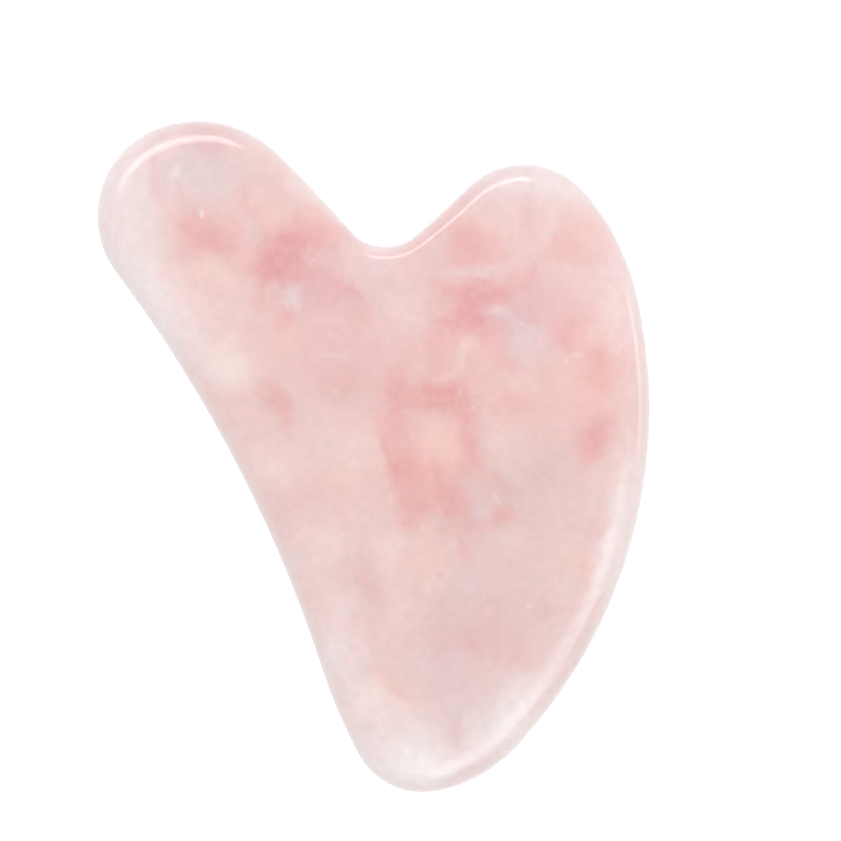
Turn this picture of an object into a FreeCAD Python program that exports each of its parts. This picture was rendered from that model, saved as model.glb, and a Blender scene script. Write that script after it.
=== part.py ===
import FreeCAD, Part
import math
import os
import Sketcher

# A gua sha scraper: one slab of polished rose quartz, cut to a lopsided heart and ground to a round edge.
#
# It lies on its back face. +Z goes up through the slab, the origin is under the middle of its outline,
# +Y points from the tip to the notch and +X to the wide lobe. Both faces are flat and alike. Between
# them the edge is half an ellipse, rim_width deep and as tall as the slab is thick, all the way round.
#
# Seen from above, the outline goes clockwise through twelve arcs, each tangent to the next:
#   crown    top of the long lobe, which is held for the neck and arms
#   shoulder its nearly straight side, down to the notch
#   notch    the hollow between the lobes, drawn along the jaw or over a finger
#   slope    the notch's other side, a little hollow
#   lobe     top of the wide lobe
#   brow     where the wide lobe turns into the long outer edge
#   flank    the long outer edge, drawn along the cheek
#   belly    where the outer edge turns in to the tip
#   tip      the lower point
#   heel     where the tip runs into the inner edge
#   hollow   the long inner edge, a little hollow
#   jaw      the long lobe's outer side

# The driving dimensions, in millimetres: alias, value and what it is.
SIZES = [
    ("overall_length", 80.0, "crown to tip, along Y"),
    ("overall_width", 65.8, "jaw to flank, along X"),
    ("thickness", 6.0, "face to face"),
    ("rim_width", 4.2, "from the outline in to where a face is flat"),
    ("crown_radius", 13.4, "top of the long lobe"),
    ("crown_x", -20.9, "its centre"),
    ("shoulder_radius", 166.0, "side of the long lobe above the notch"),
    ("notch_radius", 5.4, "bottom of the notch"),
    ("notch_x", 1.4, "its centre"),
    ("notch_y", 30.4, "its centre"),
    ("slope_radius", 95.0, "side of the wide lobe above the notch"),
    ("lobe_radius", 9.6, "top of the wide lobe"),
    ("lobe_x", 17.9, "its centre"),
    ("lobe_y", 25.2, "its centre"),
    ("brow_radius", 28.0, "from the wide lobe into the outer edge"),
    ("flank_radius", 59.2, "outer edge"),
    ("flank_y", 5.8, "its centre"),
    ("belly_radius", 17.5, "from the outer edge into the tip"),
    ("tip_radius", 8.6, "lower point"),
    ("tip_x", 5.8, "its centre"),
    ("heel_radius", 70.0, "from the tip into the inner edge"),
    ("hollow_radius", 160.4, "inner edge"),
    ("hollow_x", -158.8, "its centre, outside the stone"),
    ("hollow_y", -74.6, "its centre"),
    ("jaw_radius", 11.2, "outer side of the long lobe"),
]
# Arc centres that follow from the overall size, so that the outline keeps to its length and width.
CROWN_Y = "Sizes.overall_length / 2 - Sizes.crown_radius"
FLANK_X = "Sizes.overall_width / 2 - Sizes.flank_radius"
TIP_Y = "Sizes.tip_radius - Sizes.overall_length / 2"

OUTWARD, INWARD = 1, -1  # the side an arc bulges to
UP = FreeCAD.Vector(0, 1, 0)  # the outline's normal at the top of the crown, where the rim's section stands
RIM_OVERLAP = 1.0  # how far the rim's section reaches into the core, which it is fused with
X_AXIS = -1  # a sketch's own horizontal axis
START, END, CENTRE = 1, 2, 3  # a sketch's names for the points of an arc or a line
NODE = "scraper_stone"


def make_sheet(doc):
    """The spreadsheet that holds the driving dimensions."""
    sheet = doc.addObject("Spreadsheet::Sheet", "Sizes")
    for row, (alias, value, what) in enumerate(SIZES, start=1):
        sheet.set(f"A{row}", alias)
        sheet.set(f"B{row}", str(value))
        sheet.set(f"C{row}", what)
        sheet.setAlias(f"B{row}", alias)
    doc.recompute()
    return sheet


class OutlineArc:
    """One arc of the outline. Its signed radius is negative where the outline is hollow, so that the
    same sums serve both, and moving the outline in by some width takes that width off every one."""

    def __init__(self, name, radius, side, centre=None, centre_cells=None):
        self.name = name
        self.side = side
        self.signed = side * radius
        self.centre = centre
        self.centre_cells = centre_cells

    def point(self, normal, inset):
        return self.centre + normal * (self.signed - inset)


def placed(sheet, name, side, x, y):
    """An arc whose centre is a driving dimension. x and y are expressions."""
    centre = FreeCAD.Vector(sheet.evalExpression(x), sheet.evalExpression(y), 0)
    return OutlineArc(name, getattr(sheet, name + "_radius"), side, centre, (x, y))


def joining(sheet, name, side):
    """An arc whose centre follows from touching the arcs beside it."""
    return OutlineArc(name, getattr(sheet, name + "_radius"), side)


def normal_between(first, second):
    """The outline's outward normal where two tangent arcs meet: their centres lie on one line with it."""
    if first.centre == second.centre:
        return UP
    return (second.centre - first.centre) / (first.signed - second.signed)


def turn(before, arc, after):
    """How far an arc turns the outline, in radians from 0 to a full turn."""
    start = normal_between(before, arc)
    end = normal_between(arc, after)
    clockwise = math.atan2(start.y, start.x) - math.atan2(end.y, end.x)
    return (arc.side * clockwise) % math.tau


def find_centre(before, arc, after):
    """Sets the centre of an arc that touches both its neighbours. Of the two places where such a
    circle can be, the outline uses the one that turns it less."""
    reach_before = arc.signed - before.signed
    reach_after = arc.signed - after.signed
    between = after.centre - before.centre
    along = (reach_before**2 - reach_after**2 + between.Length**2) / (2 * between.Length)
    aside = math.sqrt(reach_before**2 - along**2)
    ahead = between / between.Length
    across = FreeCAD.Vector(-ahead.y, ahead.x, 0)
    places = [before.centre + ahead * along + across * way for way in (aside, -aside)]

    def turn_from(place):
        arc.centre = place
        return turn(before, arc, after)

    arc.centre = min(places, key=turn_from)


def outline_arcs(sheet):
    """The outline's arcs, clockwise from the top of the crown. The crown comes twice, as the two
    halves on either side of its top, where the rim's section stands."""
    arcs = [
        placed(sheet, "crown", OUTWARD, "Sizes.crown_x", CROWN_Y),
        joining(sheet, "shoulder", OUTWARD),
        placed(sheet, "notch", INWARD, "Sizes.notch_x", "Sizes.notch_y"),
        joining(sheet, "slope", INWARD),
        placed(sheet, "lobe", OUTWARD, "Sizes.lobe_x", "Sizes.lobe_y"),
        joining(sheet, "brow", OUTWARD),
        placed(sheet, "flank", OUTWARD, FLANK_X, "Sizes.flank_y"),
        joining(sheet, "belly", OUTWARD),
        placed(sheet, "tip", OUTWARD, "Sizes.tip_x", TIP_Y),
        joining(sheet, "heel", OUTWARD),
        placed(sheet, "hollow", INWARD, "Sizes.hollow_x", "Sizes.hollow_y"),
        joining(sheet, "jaw", OUTWARD),
    ]
    arcs.append(OutlineArc("crown", arcs[0].signed, OUTWARD, arcs[0].centre))
    for number, arc in enumerate(arcs):
        if arc.centre is None:
            find_centre(arcs[number - 1], arc, arcs[number + 1])
    return arcs


def sketch_on(body, plane_role, name):
    """A new sketch on one of the body's own origin planes."""
    sketch = body.newObject("Sketcher::SketchObject", name)
    plane = next(feature for feature in body.Origin.OriginFeatures if feature.Role == plane_role)
    sketch.AttachmentSupport = (plane, [""])
    sketch.MapMode = "FlatFace"
    return sketch


def tie(sketch, kind, *points):
    """A constraint that says how parts of a sketch lie, such as Tangent or Horizontal."""
    sketch.addConstraint(Sketcher.Constraint(kind, *points))


def measure(sketch, kind, name, expression, *points):
    """A constraint that holds a size. It has a name and is bound to the spreadsheet."""
    value = sketch.evalExpression(expression)
    sketch.addConstraint(Sketcher.Constraint(kind, *points, float(value)))
    sketch.renameConstraint(sketch.ConstraintCount - 1, name)
    sketch.setExpression("Constraints." + name, expression)


def draw_face_outline(body, sheet, arcs):
    """The flat face's edge: the outline moved in by the rim's width."""
    sketch = sketch_on(body, "XY_Plane", "face_outline")
    closing = len(arcs) - 1
    for number, arc in enumerate(arcs):
        first = normal_between(arcs[number - 1], arc)
        last = normal_between(arc, arcs[(number + 1) % len(arcs)])
        through = [first, (first + last).normalize(), last]
        sketch.addGeometry(Part.Arc(*[arc.point(normal, sheet.rim_width) for normal in through]))
    for number, arc in enumerate(arcs):
        # A sketch's arcs all run anticlockwise, so the clockwise outline leaves an outward one at its start.
        after = (number + 1) % len(arcs)
        leaving = START if arc.side == OUTWARD else END
        entering = END if arcs[after].side == OUTWARD else START
        tie(sketch, "Coincident" if number == closing else "Tangent", number, leaving, after, entering)
    tie(sketch, "Coincident", 0, CENTRE, closing, CENTRE)
    tie(sketch, "Vertical", 0, CENTRE, 0, END)
    for number, arc in enumerate(arcs[:closing]):
        way = "-" if arc.side == OUTWARD else "+"
        face_radius = f"Sizes.{arc.name}_radius {way} Sizes.rim_width"
        measure(sketch, "Radius", arc.name + "_radius", face_radius, number)
        if arc.centre_cells:
            x, y = arc.centre_cells
            measure(sketch, "DistanceX", arc.name + "_x", x, number, CENTRE)
            measure(sketch, "DistanceY", arc.name + "_y", y, number, CENTRE)
    return sketch


def pad_core(body, outline):
    """The flat-faced middle of the slab."""
    core = body.newObject("PartDesign::Pad", "core")
    core.Profile = outline
    core.setExpression("Length", "Sizes.thickness")
    return core


def draw_rim_section(body, sheet):
    """The rim's section over the top of the crown: half an ellipse that starts flush with each face,
    closed by a short overlap into the core. The sketch's two axes are the slab's Y and Z."""
    sketch = sketch_on(body, "YZ_Plane", "rim_section")
    sketch.setExpression(".AttachmentOffset.Base.z", "Sizes.crown_x")
    if sheet.rim_width <= sheet.thickness / 2:
        raise ValueError("the rim has to be wider than half the thickness")
    face_edge = sheet.overall_length / 2 - sheet.rim_width
    middle = FreeCAD.Vector(face_edge, sheet.thickness / 2, 0)
    top = FreeCAD.Vector(face_edge, sheet.thickness, 0)
    bottom = FreeCAD.Vector(face_edge, 0, 0)
    inward = FreeCAD.Vector(-RIM_OVERLAP, 0, 0)
    rim_point = middle + FreeCAD.Vector(sheet.rim_width, 0, 0)

    quarter = math.pi / 2
    half_ellipse = Part.ArcOfEllipse(Part.Ellipse(rim_point, top, middle), -quarter, quarter)
    curve = sketch.addGeometry(half_ellipse)
    corners = [top, top + inward, bottom + inward, bottom]
    sides = [Part.LineSegment(*pair) for pair in zip(corners, corners[1:])]
    upper, inner, lower = sketch.addGeometry(sides)
    axis = sketch.GeometryCount
    sketch.exposeInternalGeometry(curve)  # its first line is the ellipse's long axis

    tie(sketch, "Coincident", curve, END, upper, START)
    tie(sketch, "Coincident", upper, END, inner, START)
    tie(sketch, "Coincident", inner, END, lower, START)
    tie(sketch, "Coincident", lower, END, curve, START)
    tie(sketch, "Horizontal", upper)
    tie(sketch, "Vertical", inner)
    tie(sketch, "PointOnObject", lower, START, X_AXIS)
    tie(sketch, "PointOnObject", lower, END, X_AXIS)
    tie(sketch, "Vertical", curve, START, curve, CENTRE)
    tie(sketch, "Vertical", curve, END, curve, CENTRE)
    tie(sketch, "Horizontal", axis)
    measure(sketch, "DistanceX", "face_edge", "Sizes.overall_length / 2 - Sizes.rim_width", curve, CENTRE)
    measure(sketch, "DistanceY", "half_thickness", "Sizes.thickness / 2", curve, CENTRE)
    measure(sketch, "Distance", "long_axis", "2 * Sizes.rim_width", axis)
    measure(sketch, "Distance", "overlap", str(RIM_OVERLAP), upper)
    return sketch


def sweep_rim(body, outline, section):
    """The rim, swept once round the face outline and fused with the core."""
    rim = body.newObject("PartDesign::AdditivePipe", "rim")
    rim.Profile = section
    rim.Spine = outline
    rim.Mode = "Binormal"
    rim.Binormal = FreeCAD.Vector(0, 0, 1)
    return rim


def check(doc, bodies):
    """Stops if any object failed or any sub-part's shape isn't one sound solid."""
    doc.recompute()
    failed = [obj.Name for obj in doc.Objects if {"Invalid", "Error"} & set(obj.State)]
    if failed:
        raise RuntimeError(f"these objects failed: {failed}")
    for body in bodies:
        shape = body.Shape
        if shape.isNull() or not shape.isValid() or len(shape.Solids) != 1:
            raise RuntimeError(f"{body.Label} isn't one sound solid")
        box = shape.BoundBox
        size = f"{box.XLength:.2f} x {box.YLength:.2f} x {box.ZLength:.2f} mm"
        print(f"{body.Label}: {size}, {shape.Volume:.0f} mm3")


def make_scraper(doc, sheet):
    """The whole stone, as one body: a padded core and a swept rim."""
    body = doc.addObject("PartDesign::Body", "Scraper")
    body.Label = NODE
    arcs = outline_arcs(sheet)
    outline = draw_face_outline(body, sheet, arcs)
    pad_core(body, outline)
    doc.recompute()
    section = draw_rim_section(body, sheet)
    sweep_rim(body, outline, section)
    return body


def main():
    doc = FreeCAD.newDocument("gua_sha_scraper")
    sheet = make_sheet(doc)
    bodies = [make_scraper(doc, sheet)]
    check(doc, bodies)
    os.makedirs("parts", exist_ok=True)
    for body in bodies:
        body.Shape.exportStep(f"parts/{body.Label}.step")


main()
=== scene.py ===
import math
import bmesh
import bpy
import numpy as np
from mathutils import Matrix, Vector, geometry, noise


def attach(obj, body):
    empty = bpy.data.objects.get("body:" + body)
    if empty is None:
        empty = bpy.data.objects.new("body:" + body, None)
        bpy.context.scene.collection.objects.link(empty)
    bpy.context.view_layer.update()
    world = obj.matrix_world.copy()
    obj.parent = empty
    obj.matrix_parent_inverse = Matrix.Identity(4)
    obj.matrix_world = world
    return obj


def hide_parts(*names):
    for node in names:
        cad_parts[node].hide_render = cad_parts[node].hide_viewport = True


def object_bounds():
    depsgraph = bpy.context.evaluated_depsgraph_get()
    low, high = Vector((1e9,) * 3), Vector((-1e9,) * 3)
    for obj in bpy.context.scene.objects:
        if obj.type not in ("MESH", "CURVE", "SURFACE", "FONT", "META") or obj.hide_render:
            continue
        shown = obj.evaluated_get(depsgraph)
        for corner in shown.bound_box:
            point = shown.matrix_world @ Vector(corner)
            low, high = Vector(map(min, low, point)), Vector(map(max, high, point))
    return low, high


# The looks of a rose quartz gua sha stone that lies on its back face on a white table.
# Everything is in metres, in the frame of the CAD model: +Z up, the origin under the middle of the stone.

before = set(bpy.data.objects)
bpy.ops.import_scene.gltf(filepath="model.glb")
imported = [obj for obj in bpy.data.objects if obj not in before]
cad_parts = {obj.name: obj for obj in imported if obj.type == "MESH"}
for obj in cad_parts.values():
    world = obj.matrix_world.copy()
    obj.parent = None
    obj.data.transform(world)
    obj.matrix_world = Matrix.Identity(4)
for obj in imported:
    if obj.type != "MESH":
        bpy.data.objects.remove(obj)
cad_low, cad_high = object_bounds()

MM = 0.001
STONE_NODE = "scraper_stone"


# ---------------------------------------------------------------- the stone's shape

RING_POINTS = 720            # points in one ring round the stone
RIM_STEPS = 32               # rings from the back face's edge to the front face's edge
FACE_SPACING = 0.9 * MM      # between the points inside a flat face
FACE_CLEARANCE = 0.6         # the least share of it that a point keeps from the face's edge
POLISH_DEPTH = 0.03 * MM     # hand polishing leaves faces and rim this much off true
POLISH_SIZE = 11 * MM        # from one shallow dip to the next
SADDLE = (3 * MM, 26 * MM)   # at the bottom of the notch, where the rim is narrowest
SADDLE_RIM = 2.0 * MM        # its width there
SADDLE_NEAR = 2 * MM         # from this far away the rim widens evenly
SADDLE_FAR = 30 * MM         # and from here on it has its full width
SAME_PLACE = 0.001 * MM      # corners of the CAD mesh closer than this are one corner
INSIDE_ONLY = 1              # the triangulation keeps the triangles inside the border
CLOSEST = 1e-9               # and takes points closer than this as one
NOT_ZERO = 1e-15             # added to a divisor that could be zero


def face_edge(node):
    """The edge of the flat front face on the CAD stone: its points, in order, anticlockwise."""
    mesh = bmesh.new()
    mesh.from_mesh(node.data)
    bmesh.ops.remove_doubles(mesh, verts=mesh.verts, dist=SAME_PLACE)
    top = cad_high.z - SAME_PLACE

    def is_flat(face):
        return all(vertex.co.z > top for vertex in face.verts)

    beside = {}
    for edge in mesh.edges:
        if len(edge.link_faces) == 2 and is_flat(edge.link_faces[0]) != is_flat(edge.link_faces[1]):
            for vertex in edge.verts:
                beside.setdefault(vertex, []).append(edge.other_vert(vertex))
    start = max(beside, key=lambda vertex: vertex.co.y)
    loop = [start, min(beside[start], key=lambda vertex: vertex.co.x)]
    while True:
        ahead = next(vertex for vertex in beside[loop[-1]] if vertex is not loop[-2])
        if ahead is start:
            break
        loop.append(ahead)
    points = np.array([vertex.co[:2] for vertex in loop])
    mesh.free()
    return points


def smooth_closed(points, count):
    """A smooth closed curve through points: count places evenly along it, and its outward normals there.
    It is the periodic cubic spline, whose second derivatives at the points solve one linear system."""
    total = len(points)
    step = np.linalg.norm(np.roll(points, -1, 0) - points, axis=1)
    before = np.roll(step, 1)
    rows = np.arange(total)
    system = np.zeros((total, total))
    system[rows, rows] = 2 * (step + before)
    system[rows, (rows + 1) % total] = step
    system[rows, rows - 1] = before
    slope = (np.roll(points, -1, 0) - points) / step[:, None]
    bend = np.linalg.solve(system, 6 * (slope - np.roll(slope, 1, 0)))

    along = np.concatenate([[0], np.cumsum(step)])
    at = np.arange(count) * along[-1] / count
    piece = np.searchsorted(along, at, "right") - 1
    after = (piece + 1) % total
    width = step[piece][:, None]
    here = (at - along[piece])[:, None]
    left = width - here
    place = bend[piece] * left**3 / (6 * width) + bend[after] * here**3 / (6 * width)
    place += (points[piece] / width - bend[piece] * width / 6) * left
    place += (points[after] / width - bend[after] * width / 6) * here
    ahead = bend[after] * here**2 / (2 * width) - bend[piece] * left**2 / (2 * width)
    ahead += (points[after] - points[piece]) / width - (bend[after] - bend[piece]) * width / 6
    ahead /= np.linalg.norm(ahead, axis=1)[:, None]
    return place, np.stack([ahead[:, 1], -ahead[:, 0]], 1)


def fill_face(edge):
    """A flat face: triangles over the edge's points and evenly spaced ones inside it. Every second row
    is shifted by half a step. It returns the points inside and the triangles."""
    low, high = edge.min(0), edge.max(0)
    row_height = FACE_SPACING * math.sqrt(3) / 2
    inside = []
    for row, y in enumerate(np.arange(low[1], high[1], row_height)):
        shift = FACE_SPACING / 2 * (row % 2)
        for x in np.arange(low[0] + shift, high[0], FACE_SPACING):
            inside.append((x, y))
    inside = np.array(inside)
    gap = np.min(np.linalg.norm(inside[:, None] - edge[None, ::2], axis=2), axis=1)
    start, end = edge, np.roll(edge, -1, 0)
    crossing = (start[None, :, 1] > inside[:, None, 1]) != (end[None, :, 1] > inside[:, None, 1])
    rise = end[:, 1] - start[:, 1] + NOT_ZERO
    meets = (end[:, 0] - start[:, 0]) * (inside[:, None, 1] - start[:, 1]) / rise + start[:, 0]
    within = (crossing & (inside[:, None, 0] < meets)).sum(1) % 2 == 1
    inside = inside[within & (gap > FACE_CLEARANCE * FACE_SPACING)]
    everything = [Vector(point) for point in np.concatenate([edge, inside])]
    around = list(range(len(edge)))
    borders = list(zip(around, around[1:] + around[:1]))
    triangles = geometry.delaunay_2d_cdt(everything, borders, [], INSIDE_ONLY, CLOSEST)[2]
    return inside, triangles


def rim_widths(outline, full_width):
    """How wide the rounded rim is at each point of the outline."""
    away = np.linalg.norm(outline - np.array(SADDLE), axis=1)
    share = np.clip((away - SADDLE_NEAR) / (SADDLE_FAR - SADDLE_NEAR), 0, 1)
    return SADDLE_RIM + (full_width - SADDLE_RIM) * share


def polished(point, outward):
    """A point of the true shape, moved in a little where the hand polishing took more."""
    off = 0.5 + 0.5 * noise.noise(point / POLISH_SIZE)
    return point - outward * (POLISH_DEPTH * off)


def make_stone(node):
    """The stone: an elliptical rim between two flat faces, at the CAD stone's own size."""
    half = (cad_high.z - cad_low.z) / 2
    middle = (cad_high.z + cad_low.z) / 2
    cad_edge, outward = smooth_closed(face_edge(node), RING_POINTS)
    full_width = cad_high.y - cad_edge[:, 1].max()
    outline = cad_edge + outward * full_width
    widths = rim_widths(outline, full_width)
    edge = outline - outward * widths[:, None]
    points, normals = [], []
    for step in range(RIM_STEPS + 1):
        angle = math.pi * (step / RIM_STEPS - 0.5)
        reach, rise = math.cos(angle), math.sin(angle)
        for place, way, width in zip(edge, outward, widths):
            x, y = place + way * width * reach
            points.append(Vector((x, y, middle + half * rise)))
            normals.append(Vector((*(way * reach / width), rise / half)).normalized())
    faces = []
    for step in range(RIM_STEPS):
        low, high = step * RING_POINTS, (step + 1) * RING_POINTS
        for here in range(RING_POINTS):
            after = (here + 1) % RING_POINTS
            faces.append((low + here, low + after, high + after, high + here))

    inside, triangles = fill_face(edge)
    for height, way, ring in ((cad_low.z, -1, 0), (cad_high.z, 1, RIM_STEPS * RING_POINTS)):
        first = len(points)
        for x, y in inside:
            points.append(Vector((x, y, height)))
            normals.append(Vector((0, 0, way)))
        for triangle in triangles:
            corners = [at + (ring if at < RING_POINTS else first - RING_POINTS) for at in triangle]
            faces.append(corners[::way])

    mesh = bpy.data.meshes.new("polished_stone")
    mesh.from_pydata([polished(*pair) for pair in zip(points, normals)], [], faces)
    mesh.shade_smooth()
    stone = bpy.data.objects.new("polished_stone", mesh)
    bpy.context.scene.collection.objects.link(stone)
    return stone


# ---------------------------------------------------------------- materials


TABLE_COLOUR = (0.5, 0.5, 0.5, 1)   # how much of the light the table gives back
TABLE_GLOW = 0.65                   # and how much it gives off itself

# Which output of a node is used, where it isn't the first.
NOISE_COLOUR = 1
VORONOI_COLOUR = 1
GRADIENT_VALUE = 1
OBJECT_PLACE = 3    # of texture coordinates
PARAMETRIC = 5      # of geometry: across and up an area light, from 0 to 1
MIXED_COLOUR = 2    # of a mix, whose first colour goes into input 6 and second into 7


class Graph:
    """A short way to add and link a material's nodes. A socket or a plain value goes into any input."""

    def __init__(self, tree):
        self.tree = tree

    def feed(self, node, inputs):
        """Link or set a node's inputs."""
        for name, value in inputs.items():
            socket = node.inputs[name]
            if isinstance(value, bpy.types.NodeSocket):
                self.tree.links.new(value, socket)
            else:
                socket.default_value = value

    def add(self, kind, inputs, output=0, **settings):
        """A new node with these inputs and settings. It returns one of its outputs."""
        node = self.tree.nodes.new(kind)
        for name, value in settings.items():
            setattr(node, name, value)
        self.feed(node, inputs)
        return node.outputs[output]

    def math(self, operation, *values, clamp=False):
        inputs = dict(enumerate(values))
        return self.add("ShaderNodeMath", inputs, operation=operation, use_clamp=clamp)

    def vector(self, operation, *values):
        return self.add("ShaderNodeVectorMath", dict(enumerate(values)), operation=operation)

    def scaled(self, vector, factor):
        """A vector times a plain number."""
        return self.add("ShaderNodeVectorMath", {0: vector, "Scale": factor}, operation="SCALE")

    def mix(self, share, first, second, blend="MIX"):
        """The first colour with a share of the second over it."""
        inputs = {0: share, 6: first, 7: second}
        return self.add("ShaderNodeMix", inputs, MIXED_COLOUR, data_type="RGBA", blend_type=blend)

    def noise(self, place, scale, detail, roughness=0.5, output=0):
        """Noise with about scale bumps per unit of place, and detail finer octaves of this roughness."""
        inputs = {"Vector": place, "Scale": scale, "Detail": detail, "Roughness": roughness}
        return self.add("ShaderNodeTexNoise", inputs, output)

    def noise_shift(self, place, scale, detail, size):
        """A noise offset, which differs along each axis and is at most half of size."""
        return self.centred(self.noise(place, scale, detail, output=NOISE_COLOUR), size)

    def centred(self, vector, size):
        """A colour, from 0 to 1, as an offset of up to half of size each way."""
        return self.scaled(self.vector("SUBTRACT", vector, (0.5, 0.5, 0.5)), size)

    def split(self, vector):
        """The three parts of a vector."""
        node = self.tree.nodes.new("ShaderNodeSeparateXYZ")
        self.feed(node, {0: vector})
        return node.outputs

    def smooth(self, value, low, high, to_low=0.0, to_high=1.0):
        """A soft step from to_low to to_high, while value goes from low to high."""
        inputs = {0: value, 1: low, 2: high, 3: to_low, 4: to_high}
        return self.add("ShaderNodeMapRange", inputs, interpolation_type="SMOOTHSTEP")


def new_material(name):
    """A new material, its graph and its surface shader."""
    material = bpy.data.materials.new(name)
    material.use_nodes = True
    graph = Graph(material.node_tree)
    return material, graph, material.node_tree.nodes["Principled BSDF"]


def plain_floor():
    """The white table: matt, and glowing a little, so that the stone throws hardly any shadow."""
    material, graph, shader = new_material("white_table")
    graph.feed(shader, {"Base Color": TABLE_COLOUR, "Roughness": 0.9, "Specular IOR Level": 0.0})
    graph.feed(shader, {"Emission Color": (1, 1, 1, 1), "Emission Strength": TABLE_GLOW})
    return material


# The stone's colours, as the share of red, green and blue light that it gives back.
BODY = (0.731, 0.558, 0.533)     # the cloudy pink that fills most of it
BLUSH = (0.746, 0.500, 0.482)    # the same, pinker
DUSK = (0.680, 0.505, 0.487)     # the same, darker
GLOW = (0.790, 0.560, 0.540)     # the same, brighter
CREAM = (0.785, 0.629, 0.588)    # the same, yellower
MILK = (0.788, 0.708, 0.702)     # a pale cloud
FROST_AND_HIGHLIGHT = (0.830, 0.820, 0.815)    # the palest, also a painted highlight along the rim of the tip and belly
SALMON = (0.795, 0.492, 0.458)   # an orange pink
PEACH = (0.790, 0.541, 0.490)    # an orange glow
ROSE = (0.715, 0.373, 0.374)     # the strongest pink, in patches
CORAL = (0.706, 0.368, 0.350)    # the same, more orange
MAUVE = (0.708, 0.465, 0.477)    # a greyer pink
SMOKE = (0.705, 0.590, 0.592)    # clear windows, which look grey
RIM_SHADE = (0.668, 0.615, 0.622)     # painted shade: the thin outermost rim, greyer where light passes through it
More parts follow.
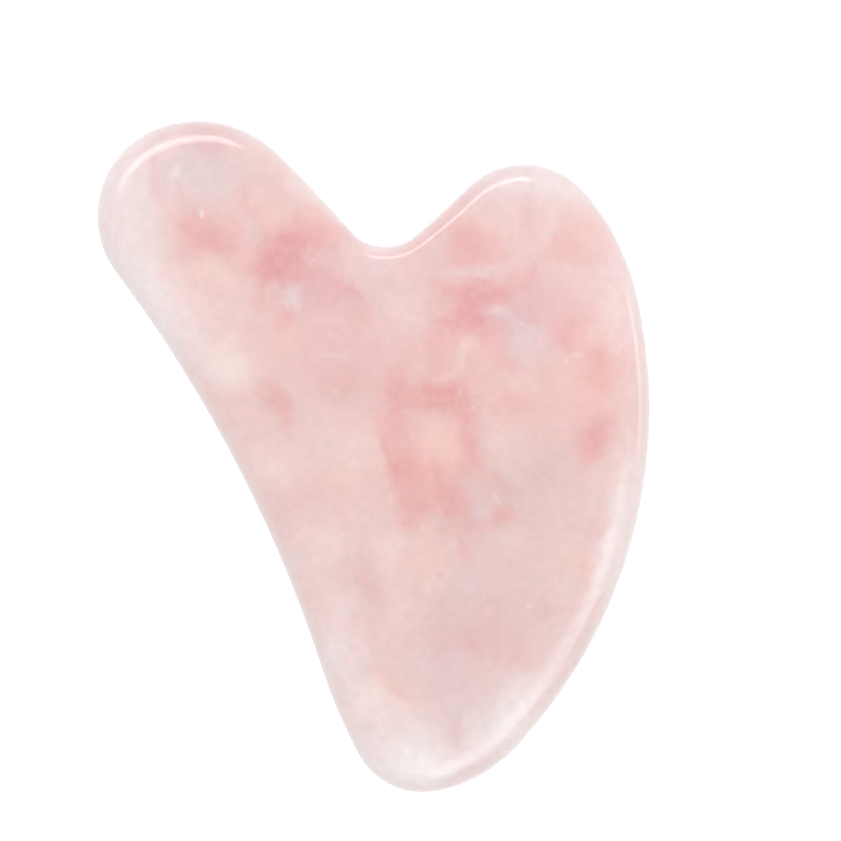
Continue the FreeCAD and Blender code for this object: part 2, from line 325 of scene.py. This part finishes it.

# The clouds in it. Each kind has its colour, how soft its clouds' edges are (1 fades from the very middle),
# and the clouds: millimetres from the stone's middle to the cloud's, its half width and half height, how far
# it is turned anticlockwise in degrees, and how strong it is. Later kinds lie over earlier ones.
# Some thin clouds along the rim are painted shade, and the first frost clouds a painted highlight, as marked
# below.
CLOUDS_AND_PAINTED_LIGHT = {
    "milk": (MILK, 1.0, [
        (-30, 27, 5.5, 14, 0, 0.78), (-24, 16.5, 3, 6, 30, 0.75), (-17.3, 10.4, 2.7, 2.2, 0, 0.65),
        (21, 31.5, 7, 3, -10, 0.9), (-3.5, -17.5, 1.5, 2, 0, 0.4), (-3.5, -24.5, 2.5, 4, 10, 0.55),
        (4, -36, 9, 5, 0, 1.0), (16, -30, 6, 3.5, 45, 0.8), (28.6, 17.5, 2.6, 7, 20, 0.9),
        (27, 20, 3, 4, 0, 0.35), (29.5, -9, 2.2, 10, -14, 0.7), (-6.5, 31.5, 2, 4, 40, 0.5),
        (3.5, 17.3, 2.7, 3.2, 0, 0.95), (-0.4, -29, 2.2, 1.8, 0, 0.5), (0, 22.5, 3, 1.5, 0, 0.4),
    ]),
    "blush": (BLUSH, 1.0, [
        (-6, 14, 8, 8, 0, 0.9), (12, 18, 9, 7, 0, 0.8), (24, 9, 6, 9, 0, 0.5), (-15, 26, 8, 5, -10, 0.7),
        (7, 2, 8, 11, 0, 0.9), (-8, -5, 4, 3, 0, 0.4), (-8, 24.5, 3.5, 3, 0, 0.7),
        (25, 25.5, 3.5, 2.5, 0, 0.4), (18, 5, 8, 6, 0, 0.5),
    ]),
    "glow": (GLOW, 1.0, [
        (23, 22, 7, 7, 0, 0.8), (27, 12, 4, 6, 0, 0.7), (14, 27, 5, 3, 0, 0.5), (-19, 20, 4, 4, 0, 0.4),
        (-15, 28, 5, 4, 0, 0.25),
    ]),
    "dusk": (DUSK, 1.0, [
        (11, 0, 2.2, 4, 0, 0.6), (10, -6, 2, 2, 0, 0.6), (6, -5.5, 4, 2.5, 0, 0.5),
        (-11.3, 6.5, 2, 2.5, 0, 0.6), (-11, 22, 3, 3, 0, 0.5), (14, -5, 7, 6, 0, 0.7),
        (18, -1.5, 4, 3, 0, 0.7), (16, -18, 8, 8, 0, 0.6), (7, -24, 6, 6, 0, 0.35),
        (-1.5, -15, 3, 4, 0, 0.7), (9, -20, 3, 5, 0, 0.5), (-3.5, 8, 4, 3, 0, 0.5),
        # Partly painted shade: the thin dusk clouds along the rim of the crown, slope, lobe top, belly and
        # tip darken the rim outside the highlights, where it reflects less light, over the stone's own
        # deeper pink there.
        (-9, -5.5, 3, 2.5, 0, 0.4), (11, -31, 3.5, 4, 20, 0.6), (-20, 39, 5, 1.2, 0, 0.9),
        (11, 30.7, 4, 0.8, 42, 0.6), (24, -23.5, 1, 5, -33, 0.6), (11, -38, 4, 1, 22, 0.6),
        (10.5, -33, 2, 1.6, 0, 0.4), (19, 34.3, 4, 0.8, 0, 0.5),
    ]),
    "mauve": (MAUVE, 1.0, [
        (18.5, 17.5, 3.5, 3, 0, 0.9), (-5, 19.2, 4.5, 1.6, -8, 0.9), (12.3, -8, 2, 1.3, 0, 0.5),
        (-5.5, 23.5, 2, 2.5, 0, 0.3), (8.3, -21.7, 1.3, 2.2, 0, 0.5), (15.3, 14.8, 1.5, 1.3, 0, 0.9),
        (-1.2, -15, 1.3, 2, 10, 0.4), (-9, -5.5, 2.3, 1.8, 0, 0.2), (-2.5, 12, 4, 3, 0, 0.4),
        # Partly painted shade: the thin mauve clouds along the rim of the notch and slope darken the rim
        # outside the highlight, where it reflects less light, over the stone's own greyer pink there.
        (-19.5, 36.3, 1.8, 1, 0, 0.8), (17.7, 28.4, 0.7, 1.7, 10, 0.5), (-1, 25.8, 4.5, 1, -8, 0.9),
        (7.3, 28.2, 4, 0.7, 45, 0.5),
    ]),
    "salmon": (SALMON, 1.0, [
        (26.5, 11.3, 3, 3.2, 0, 0.7), (26, 26.5, 2.2, 3, 0, 0.35), (24.5, 7, 2.5, 2.5, 0, 0.5),
        (12.5, 13, 3, 2, 0, 0.4), (-7, 26.8, 2.6, 1.8, 10, 0.6), (6.3, -2.8, 4, 4, 0, 0.6),
        (10.5, 1, 2, 4, 0, 0.4), (16.5, 7, 2.5, 1.5, 0, 0.3), (2.5, 2.5, 1.6, 2.5, 0, 0.4),
    ]),
    "rose": (ROSE, 1.0, [
        (-21.5, 27.5, 1.9, 2.4, 0, 0.35), (-18.8, 25.4, 2.6, 1.8, -20, 0.65),
        (-20.3, 24.2, 3, 1.2, 0, 0.25), (-10.8, 25, 2.5, 2.1, 0, 0.9), (-13, 22.9, 1.7, 1.5, 0, 0.75),
        (-11, 21.2, 2.1, 1.6, 0, 0.95), (-7.5, 26.6, 2.8, 1.9, 15, 0.3), (-12, 19.9, 0.8, 0.9, 0, 0.5),
        (-13.3, 18.6, 0.9, 1.2, 0, 0.4), (-11, 16.7, 1, 1.2, 20, 0.55), (-7.4, 20.8, 0.9, 1, 0, 0.45),
        (-14.6, 28.8, 0.8, 1.5, 0, 0.45), (-15.3, 31.2, 1, 0.8, 0, 0.35), (-15.2, 22, 1, 0.8, 0, 0.35),
        (-25.5, 32.5, 0.9, 2.5, 5, 0.3), (-2.5, 19.2, 3, 0.6, -25, 0.4), (-5.5, 19, 2.2, 1.1, 0, 0.25),
        (12, 25, 2.4, 1.9, -15, 0.5), (9.3, 25.2, 2, 2, 0, 0.35), (22.3, 24.3, 2.4, 1.1, -8, 0.35),
        (18.3, 21.5, 0.6, 1.2, 0, 0.45), (14.3, 19.3, 1.4, 1.3, 0, 0.8), (12.5, 17.4, 1.8, 1.8, 0, 0.85),
        (10, 19, 1.9, 1.6, 0, 0.7), (11.2, 15.4, 3, 1.5, 0, 0.9), (16.3, 20.6, 1.8, 1, 0, 0.4),
        (7.3, 12.5, 1, 2.5, 10, 0.35), (15.8, 11.6, 1.3, 2, 0, 0.4), (22.8, 14.4, 1.6, 1.5, 0, 0.4),
        (26, 1.9, 1.7, 2.9, -18, 0.9), (24, 17, 1.3, 1.7, 0, 0.35), (-8.5, 24.5, 2.5, 2.2, 0, 0.4),
        (13, 23.4, 1.5, 1, 0, 0.35), (11.4, -22.4, 1.3, 1.9, 0, 0.45), (16.8, -23.6, 2.2, 1.8, -20, 0.3),
        # Partly painted shade: the thin rose clouds along the rim of the crown, slope and belly darken the
        # rim outside the highlights, where it reflects less light, over the stone's own deeper pink there.
        (10.3, -11, 0.7, 1.5, 10, 0.3), (21, -18.5, 1.2, 0.7, 0, 0.3), (-19.5, 39, 3.5, 0.6, 0, 0.4),
        (9, 30, 3.5, 0.5, 45, 0.3), (23.3, -24.7, 0.5, 1.8, -33, 0.5), (26.2, -18.7, 0.5, 1.2, -25, 0.4),
        (-0.3, -16, 1, 1.5, 10, 0.2), (2.5, -28, 1.5, 1, -30, 0.2),
    ]),
    "coral": (CORAL, 1.0, [
        (7.9, 7.6, 2.4, 1.6, 5, 1.1), (3.1, 8.2, 1.9, 1.5, 0, 0.7), (3.4, 5.6, 1.5, 1.5, 0, 0.55),
        (5, 0.2, 1.1, 1.2, 0, 0.35), (9.7, 4.7, 0.8, 1.2, 0, 0.35), (11.3, 6.8, 0.8, 1.7, -15, 0.5),
        (1.7, 1, 0.7, 3, 8, 0.45), (3, -1.8, 1.8, 2.4, 5, 0.6), (3.7, 2.4, 1.4, 2, 0, 0.4),
        (4.8, -6, 1.8, 1.4, 0, 0.45), (7.5, -4.4, 3, 1.5, 0, 0.65), (9.8, -5.9, 1.4, 1.2, 0, 0.5),
        (11, -7.4, 1.2, 1.4, 20, 0.45), (14.2, -3.6, 2.2, 1.3, -25, 0.35), (10.7, 0.6, 1.6, 2.6, 0, 0.6),
        (11, 4.5, 1.2, 1.6, 10, 0.3), (4.3, -7.9, 1.1, 0.6, 15, 0.4), (15.2, -7.8, 1.6, 1.3, -15, 0.6),
        (13.3, -1, 1.4, 1.3, 0, 0.3), (6, -1.8, 3, 1.4, 0, 0.6), (27, 10.6, 1.8, 2, 0, 0.4),
        (-11, 6, 1, 2.3, 20, 0.55), (-13, 8, 1.2, 1, 0, 0.25), (-3.3, 8.6, 2.4, 1.7, 0, 0.35),
        (9, -9, 1.5, 1, 0, 0.3), (22.8, 13.8, 1.5, 1.5, 0, 0.25), (-1, 17, 1.5, 1, 0, 0.25),
        (16.5, 6, 2, 0.8, 0, 0.25), (13.5, -20, 1.5, 3, 0, 0.2),
    ]),
    "peach": (PEACH, 0.95, [
        (-12.3, 28.2, 1.7, 1.6, 0, 0.85), (-13, 31.2, 1.6, 1.2, 0, 0.12), (-18.3, 22, 2.2, 1.5, 0, 0.4),
        (7.3, 2.6, 1.9, 2.5, 0, 0.75), (5.8, -3.2, 1.2, 1.7, 0, 0.35), (9.8, -1.8, 0.8, 1.5, 0, 0.3),
        (8.2, 0.3, 0.9, 2, 15, 0.8), (6.5, -12.8, 1.5, 3, 0, 0.4), (24, -13, 1.8, 1.6, 0, 0.6),
        (-4.8, -2.5, 2.2, 2.5, 0, 0.3), (2.2, -27.3, 2, 1.2, 0, 0.4), (10.8, 27.2, 2.5, 0.8, 35, 0.5),
        (-10, 14, 0.8, 2, 0, 0.45), (23, 9.5, 1, 2, 0, 0.4),
    ]),
    "cream": (CREAM, 0.95, [
        (-18, 13.4, 2, 0.9, 30, 0.9), (-17.3, 10.3, 2.7, 2, 0, 0.9), (10.7, 12.2, 0.8, 2.4, -25, 0.6),
        (-18.3, 22, 2, 1.3, 0, 0.4), (-2.2, 1.2, 2.7, 2.5, 0, 0.5), (15.5, 1, 2.3, 2.6, 0, 0.5),
        (-12.2, -1, 2.5, 2, 0, 0.6), (-5.4, -9.8, 1.3, 1.8, 0, 0.35), (2, -11.3, 1.1, 2, 0, 0.6),
        (-0.4, -29, 2.5, 1.7, 0, 0.8), (27.3, 18.5, 2, 1.5, -30, 0.5), (17, 8.6, 1.8, 1.2, 0, 0.35),
        (-8, -9.5, 1.5, 3, 0, 0.3), (16.5, -10.5, 2.3, 1.5, 0, 0.3), (22, -16, 1.3, 1.5, 0, 0.3),
        (3, -18.5, 1.2, 2.5, 0, 0.3), (-16.5, 17, 2, 0.8, 0, 0.4), (6.5, -14.8, 1, 0.9, 0, 0.4),
        (21.5, 28.6, 2, 0.8, 0, 0.4),
    ]),
    "smoke": (SMOKE, 1.0, [
        (-20.6, 33.2, 3.5, 2.7, -10, 0.9), (-14.5, 33, 3, 2, -40, 0.2), (18.1, 13.2, 2, 2, 20, 0.75),
        (12, -5, 1.7, 1.8, 0, 0.3), (15.2, 16.9, 1.8, 1.1, -15, 0.5), (-10.2, 18.9, 1.4, 1, 0, 0.75),
        (10.6, -15, 1.3, 1.8, 0, 0.5), (13, -6.6, 1.3, 0.5, -40, 0.3), (-7, -1, 1, 1.3, 0, 0.2),
        (8, -25, 3.5, 2, 0, 0.4), (10, -29, 2.5, 2, 0, 0.4), (11.3, 21.8, 3, 0.5, -5, 0.3),
        (-14.9, 27, 0.6, 2, 5, 0.5), (-6.3, 2.5, 1.1, 1.8, 0, 0.3), (-10, -12.5, 1.5, 2, 20, 0.5),
        (-3.2, -24.2, 1.3, 2, 0, 0.4), (0.2, 20.6, 0.5, 2.2, 0, 0.4), (-6, 23.3, 0.8, 1.1, 0, 0.15),
    ]),
    "frost_and_highlight": (FROST_AND_HIGHLIGHT, 1.0, [
        # Painted highlight: the first six frost clouds run along the rim of the tip and belly, where the
        # softbox is reflected, and whiten that band; the rest are pale spots.
        (5.5, -37, 5, 1.8, 0, 0.5), (14, -32, 2, 3.5, -45, 0.4), (19, -28, 1.8, 4, -40, 0.15),
        (23.6, -21.8, 1.5, 4, -33, 0.2), (26.6, -14.8, 1.4, 4, -22, 0.2), (28.7, -8, 1.2, 3.5, -12, 0.15),
        (-23, 33, 0.8, 0.7, 0, 0.4), (3.5, 17, 2, 2.6, 0, 0.14), (28.4, 15, 1.3, 2.6, 0, 0.14),
        (-17.4, 10.2, 2, 1.8, 0, 0.15), (-0.6, -29, 1.9, 1.6, 0, 0.12), (-4.8, -21, 1.5, 4.5, 15, 0.16),
    ]),
}
CLOUD_TOP = 5       # millimetres above the back face where a cloud is strongest
CLOUD_DEPTH = 9     # its half depth, so that the back face shows it fainter
CLOUD_LIMIT = 0.5   # how early the clouds of one kind stop adding up, where they overlap

# Flaws, in the same way: thin pale veils where the stone healed, bright specks and tiny dark pits.
FLAWS = {
    "veil": (MILK, 1.0, [
        (17.5, 15.7, 1.5, 0.25, -28, 0.4), (14.5, 17.2, 0.9, 0.4, 10, 0.35),
        (11.5, 21.6, 2.5, 0.25, -4, 0.3), (13.3, 22, 1, 0.2, 15, 0.3), (-4.6, 12, 1.7, 0.15, -3, 0.4),
        (9, 9.4, 0.9, 0.35, 0, 0.4), (-7, 23.2, 1.2, 0.2, 60, 0.35), (-10, 18.4, 0.9, 0.4, 10, 0.35),
        (14.6, -5, 0.9, 0.25, -50, 0.4), (28.4, 19.3, 0.25, 1.4, 15, 0.45),
        (-9.6, 7.5, 1.6, 0.15, -55, 0.25), (21.3, 26.6, 0.9, 0.15, 50, 0.35), (-16.5, 17, 1, 0.2, 5, 0.25),
        (2, -3, 0.8, 0.2, -20, 0.25), (-5.2, -5.9, 0.5, 0.25, -10, 0.35), (21.7, 3.7, 0.8, 0.2, 20, 0.25),
        (-21.5, 31.6, 1.6, 0.2, -8, 0.3), (5.5, -22.5, 1.2, 0.15, 75, 0.15), (16.7, 28.3, 0.2, 1.2, 8, 0.3),
        (19.4, 22.3, 0.2, 0.9, 12, 0.25),
    ]),
    "speck": (FROST_AND_HIGHLIGHT, 0.9, [
        (-20.2, 28.7, 0.4, 0.4, 0, 0.6), (24.2, 12, 0.5, 0.5, 0, 0.35), (22.8, 11.4, 0.35, 0.3, 0, 0.35),
        (11.7, 5.8, 0.45, 0.35, 30, 0.35), (19.1, 8, 0.4, 0.6, 10, 0.2),
        (18.5, -17.6, 0.45, 0.25, -20, 0.4), (9.3, 16.3, 0.35, 0.35, 0, 0.25),
        (10.2, 7.7, 0.35, 0.35, 0, 0.25), (20.4, 26.1, 0.3, 0.3, 0, 0.2), (28.8, 8.6, 0.3, 0.4, 0, 0.2),
        (-15.6, 30.8, 0.2, 0.4, 0, 0.25), (30.5, 7.6, 0.2, 0.4, 0, 0.2),
    ]),
    "pit": (MAUVE, 0.6, [
        (-19.3, 36.7, 1.6, 0.6, 5, 0.45), (-22.5, 36.8, 0.7, 0.5, 0, 0.25),
        (-2.9, 17.8, 0.5, 0.3, -20, 0.7), (-11.3, 8.8, 0.7, 0.4, 0, 0.6), (3.3, 3.9, 0.6, 0.3, 10, 0.8),
        (7.9, -13.9, 0.6, 0.25, 0, 0.8), (-0.2, -7.1, 0.4, 0.25, 0, 0.5), (24.5, -13, 0.4, 0.4, 0, 0.5),
        (25.5, -20.5, 0.6, 0.3, 0, 0.5), (10.5, 3.2, 0.25, 0.8, 0, 0.4),
    ]),
}
FLAW_DEPTH = 2.5    # the half depth of a flaw


def cloud_layer(graph, place, softness, clouds, depth):
    """How much of one kind of cloud there is: the sum of its ellipsoids."""
    reach = 1 / (1 - softness / 2)
    total = 0.0
    for x, y, wide, tall, turn, strength in clouds:
        inputs = {"Vector": place, "Location": (x, y, CLOUD_TOP), "Rotation": (0, 0, math.radians(turn))}
        inputs["Scale"] = (wide * reach, tall * reach, depth)
        local = graph.add("ShaderNodeMapping", inputs, vector_type="TEXTURE")
        inside = graph.add("ShaderNodeTexGradient", {"Vector": local}, GRADIENT_VALUE,
                           gradient_type="SPHERICAL")
        total = graph.math("ADD", total, graph.smooth(inside, 0.0, softness, 0.0, strength))
    return graph.math("SMOOTH_MIN", total, 1.0, CLOUD_LIMIT)


def solid(colour):
    """A colour with full cover, as a node's input takes it."""
    return (*colour, 1)


GRAINS = (0.42, 0.34, 0.4)      # crystal grains per millimetre along each axis
GRAIN_BLEND = 0.9               # how softly they run into each other
GRAIN_SHIFT = 1.7               # each moves the clouds in it by up to half of this, in millimetres
GRAIN_SHARE = 0.4               # how much of the body's drift is from grain to grain, and not in streaks
STREAKS = (0.30, 0.16, 0.25)    # streaks per millimetre along each axis: they stand upright
BODY_SHARE = 0.55               # how much of the plain body colour is in the drifting one
MOTTLE = (0.8, 1.12)            # a cloud's strength goes up and down between these
FINE_LIGHT = (0.967, 1.027)     # and the whole stone's brightness between these
RIM_SHADE_RISE = 1.3                  # how fast the painted rim shade comes on towards the middle of the rim's height
POLISH = (0.05, 0.09)           # the roughness of the best and the worst polished spots
QUARTZ_IOR = 1.54
SCATTER = (1.0, 0.7, 0.65)      # how far red, green and blue light spread inside it, times the next
SCATTER_DEPTH = 0.7 * MM
SCATTER_SHARE = 0.8

# Each noise has its bumps per millimetre (per streak for the streaks), its finer octaves and their strength.
STREAK_NOISE = (1.0, 3, 0.55)
MOTTLE_NOISE = (0.8, 3, 0.6)
FINE_NOISE = (0.9, 3, 0.6)
POLISH_NOISE = (0.25, 3, 0.5)
NOISE_RANGE = (0.3, 0.7)        # most values of a noise lie between these
WIDE_RANGE = (0.25, 0.75)       # and nearly all between these

# How noise bends grains, flaws and clouds: its bumps per millimetre, its finer octaves and twice its reach
# in millimetres, or in grains for the first.
GRAIN_BEND = (0.8, 2, 0.5)
FLAW_BEND = (1.1, 2, 1.2)
CLOUD_BEND = (0.22, 1, 2.0)


def crystal_grains(graph, place):
    """A random colour for each crystal grain, with soft borders between them."""
    grains = graph.vector("MULTIPLY", place, GRAINS)
    grains = graph.vector("ADD", grains, graph.noise_shift(place, *GRAIN_BEND))
    inputs = {"Vector": grains, "Scale": 1.0, "Smoothness": GRAIN_BLEND}
    return graph.add("ShaderNodeTexVoronoi", inputs, VORONOI_COLOUR, feature="SMOOTH_F1")


def body_colour(graph, place, grain):
    """The body drifts between pinker and creamier, in upright streaks and from grain to grain."""
    streaks = graph.vector("MULTIPLY", place, STREAKS)
    drift = graph.smooth(graph.noise(streaks, *STREAK_NOISE), *NOISE_RANGE)
    drift = graph.math("MULTIPLY", drift, 1 - GRAIN_SHARE)
    tint = graph.math("MULTIPLY_ADD", grain, GRAIN_SHARE, drift)
    colour = graph.mix(tint, solid(BLUSH), solid(CREAM))
    return graph.mix(BODY_SHARE, colour, solid(BODY))


def with_clouds_and_painted_light(graph, place, grain, colour):
    """The clouds and flaws laid over a colour, among them painted shade along the rim and a painted
    highlight along the tip and belly. The grains shift the clouds, which breaks up their edges.
    """
    near = graph.vector("ADD", place, graph.noise_shift(place, *FLAW_BEND))
    bent = graph.vector("ADD", near, graph.centred(grain, GRAIN_SHIFT))
    bent = graph.vector("ADD", bent, graph.noise_shift(place, *CLOUD_BEND))
    mottle = graph.smooth(graph.noise(place, *MOTTLE_NOISE), *NOISE_RANGE, *MOTTLE)
    for tone, softness, clouds in CLOUDS_AND_PAINTED_LIGHT.values():
        amount = graph.math("MULTIPLY", cloud_layer(graph, bent, softness, clouds, CLOUD_DEPTH), mottle)
        colour = graph.mix(amount, colour, solid(tone))
    for tone, softness, flaws in FLAWS.values():
        amount = cloud_layer(graph, near, softness, flaws, FLAW_DEPTH)
        colour = graph.mix(amount, colour, solid(tone))
    return colour


def with_fine_light(graph, place, colour):
    """A colour made faintly lighter and darker from spot to spot."""
    light = graph.smooth(graph.noise(place, *FINE_NOISE), *WIDE_RANGE, *FINE_LIGHT)
    grey = graph.add("ShaderNodeCombineXYZ", {0: light, 1: light, 2: light})
    return graph.mix(1.0, colour, grey, "MULTIPLY")


def with_rim_shade(graph, place, colour):
    """A colour with painted shade on the rim: greyer and less pink towards the middle of the rim's height,
    where the stone is thinnest and light passes through it.
    """
    half = (cad_high.z - cad_low.z) / 2 / MM
    above = graph.math("SUBTRACT", graph.split(place)[2], half)
    level = graph.math("ABSOLUTE", graph.math("DIVIDE", above, half))
    shade_share = graph.math("POWER", graph.math("SUBTRACT", 1.0, level, clamp=True), RIM_SHADE_RISE)
    # Painted shade: the rim colour is mixed in most at the middle of the rim's height.
    return graph.mix(shade_share, colour, solid(RIM_SHADE))


def rose_quartz():
    """Polished rose quartz: cloudy, lit through, with patches of pink, veils and specks."""
    material, graph, shader = new_material("rose_quartz")
    place = graph.scaled(graph.add("ShaderNodeTexCoord", {}, OBJECT_PLACE), 1 / MM)
    grain = crystal_grains(graph, place)
    colour = body_colour(graph, place, grain)
    # Clouds and flaws, with painted shade along the rim and a painted highlight along the tip and belly.
    colour = with_clouds_and_painted_light(graph, place, grain, colour)
    colour = with_fine_light(graph, place, colour)
    # Painted shade on the rim.
    colour = with_rim_shade(graph, place, colour)
    graph.feed(shader, {
        "Base Color": colour,
        "Roughness": graph.smooth(graph.noise(place, *POLISH_NOISE), *NOISE_RANGE, *POLISH),
        "IOR": QUARTZ_IOR,
        "Subsurface Weight": SCATTER_SHARE,
        "Subsurface Radius": SCATTER,
        "Subsurface Scale": SCATTER_DEPTH,
    })
    return material


# ---------------------------------------------------------------- light, table and camera

VIEW_WIDTH = 100.2 * MM             # what the camera takes in at the stone's mid-plane
AIM_X, AIM_Y = 5.6 * MM, 4.3 * MM   # the view's middle, from the stone's middle
LENS, SENSOR = 100, 36              # the camera's own millimetres
FLOOR_REACH = 3.0                   # from the stone to the table's sides
ROOM_OVERHEAD = 0.76                # the room's brightness overhead; it is 1 at the horizon
HORIZON_FADE = 0.35                 # how high up it has dimmed to that, where 1 is straight up


def make_camera():
    """Straight above the stone, looking down, with +Y up the frame."""
    data = bpy.data.cameras.new("camera")
    data.lens = LENS
    data.sensor_width = SENSOR
    data.clip_start = 0.01
    camera = bpy.data.objects.new("camera", data)
    middle = (cad_low + cad_high) / 2
    distance = VIEW_WIDTH * LENS / SENSOR
    camera.location = middle + Vector((AIM_X, AIM_Y, distance))
    bpy.context.scene.collection.objects.link(camera)
    bpy.context.scene.camera = camera


def make_floor():
    """The table top that the stone lies on."""
    mesh = bpy.data.meshes.new("table_top")
    corners = [(x * FLOOR_REACH, y * FLOOR_REACH, 0) for x, y in ((-1, -1), (1, -1), (1, 1), (-1, 1))]
    mesh.from_pydata(corners, [], [(0, 1, 2, 3)])
    floor = bpy.data.objects.new("table_top", mesh)
    mesh.materials.append(plain_floor())
    bpy.context.scene.collection.objects.link(floor)


def add_light(name, azimuth, tilt, distance, size, radiance, fade, colour=(1, 1, 1)):
    """A rectangular soft light that faces the stone. azimuth is clockwise from +Y and tilt is from straight
    up, in degrees; size is its level side and its other side; radiance is how bright it looks, and colour
    tints it. fade is the share of its width over which it dims towards its left, right, lower and upper
    edge, as seen from the stone."""
    data = bpy.data.lights.new(name, "AREA")
    data.shape = "RECTANGLE"
    data.size, data.size_y = size
    data.energy = radiance * math.pi * size[0] * size[1]
    data.color = colour
    data.use_nodes = True
    graph = Graph(data.node_tree)
    across, up, _ = graph.split(graph.add("ShaderNodeNewGeometry", {}, PARAMETRIC))
    left, right, lower, upper = fade
    strength = 1.0
    for along, low, high in ((across, right, left), (up, lower, upper)):
        strength = graph.math("MULTIPLY", strength, graph.smooth(along, 0.0, low))
        strength = graph.math("MULTIPLY", strength, graph.smooth(along, 1.0 - high, 1.0, 1.0, 0.0))
    graph.feed(data.node_tree.nodes["Emission"], {"Strength": strength})

    light = bpy.data.objects.new(name, data)
    turn, lean = math.radians(azimuth), math.radians(tilt)
    away = Vector((math.sin(turn) * math.sin(lean), math.cos(turn) * math.sin(lean), math.cos(lean)))
    light.location = (cad_low + cad_high) / 2 + away * distance
    light.rotation_mode = "QUATERNION"
    light.rotation_quaternion = away.to_track_quat("Z", "Y")
    bpy.context.scene.collection.objects.link(light)


def make_lights():
    """A strip behind the lobes, which draws the thin line along their rims and the notch; a softbox beyond
    the tip, for the broad band along the belly; and a window, for the faint line down the flank."""
    add_light("strip", azimuth=-30, tilt=44, distance=0.9, size=(1.12, 0.5), radiance=4.6,
              fade=(0.4, 0.03, 0.45, 0.45), colour=(0.94, 0.97, 1.02))
    add_light("softbox", azimuth=140, tilt=36, distance=1.0, size=(1.3, 0.77), radiance=1.75,
              fade=(0.3, 0.3, 0.12, 0.5))
    add_light("window", azimuth=85, tilt=74, distance=1.2, size=(0.6, 0.55), radiance=2.5,
              fade=(0.3, 0.3, 0.5, 0.5))


def make_world():
    """A pale room, a little brighter towards the horizon than overhead."""
    world = bpy.data.worlds.new("studio")
    world.use_nodes = True
    graph = Graph(world.node_tree)
    background = world.node_tree.nodes["Background"]
    height = graph.split(graph.add("ShaderNodeTexCoord", {}))[2]
    strength = graph.smooth(height, 0.0, HORIZON_FADE, 1.0, ROOM_OVERHEAD)
    graph.feed(background, {"Color": (1, 1, 1, 1), "Strength": strength})
    bpy.context.scene.world = world


bpy.context.scene.view_settings.view_transform = "Standard"

stone = make_stone(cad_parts[STONE_NODE])
stone.data.materials.append(rose_quartz())
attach(stone, "root")
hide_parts(STONE_NODE)

make_floor()
make_world()
make_lights()
make_camera()
